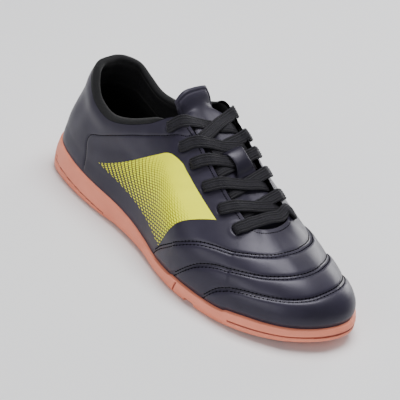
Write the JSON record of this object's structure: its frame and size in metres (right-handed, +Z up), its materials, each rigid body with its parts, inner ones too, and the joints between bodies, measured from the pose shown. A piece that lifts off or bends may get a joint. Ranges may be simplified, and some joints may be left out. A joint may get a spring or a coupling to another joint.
{
  "type": "indoor soccer shoe",
  "caption": "Right indoor soccer shoe standing on its sole: smooth black leather upper with padded vamp bands, flat criss-cross lacing, open padded collar and grooved gum rubber cup sole",
  "frame": {"origin": "on the floor under the middle of the sole's bounding box", "axes": "+X to the toe, +Y to the inner (medial) side of this right shoe, +Z up"},
  "size_m": [0.2944, 0.1094, 0.1167],
  "materials": {
    "upper_leather": "smooth satin",
    "gum_rubber": "matte moulded",
    "insole_foam": "cloth covered foam",
    "tongue_leather": "smooth satin",
    "lace_weave": "flat woven",
    "keeper_leather": "smooth satin"
  },
  "bodies": {
    "root": {"upper": "upper_leather", "sole": "gum_rubber", "insole": "insole_foam", "tongue": "tongue_leather", "lace_cross_1": "lace_weave", "lace_cross_2": "lace_weave", "lace_cross_3": "lace_weave", "lace_cross_4": "lace_weave", "lace_cross_5": "lace_weave", "lace_bar": "lace_weave", "lace_keeper": "keeper_leather"}
  },
  "joints": []
}
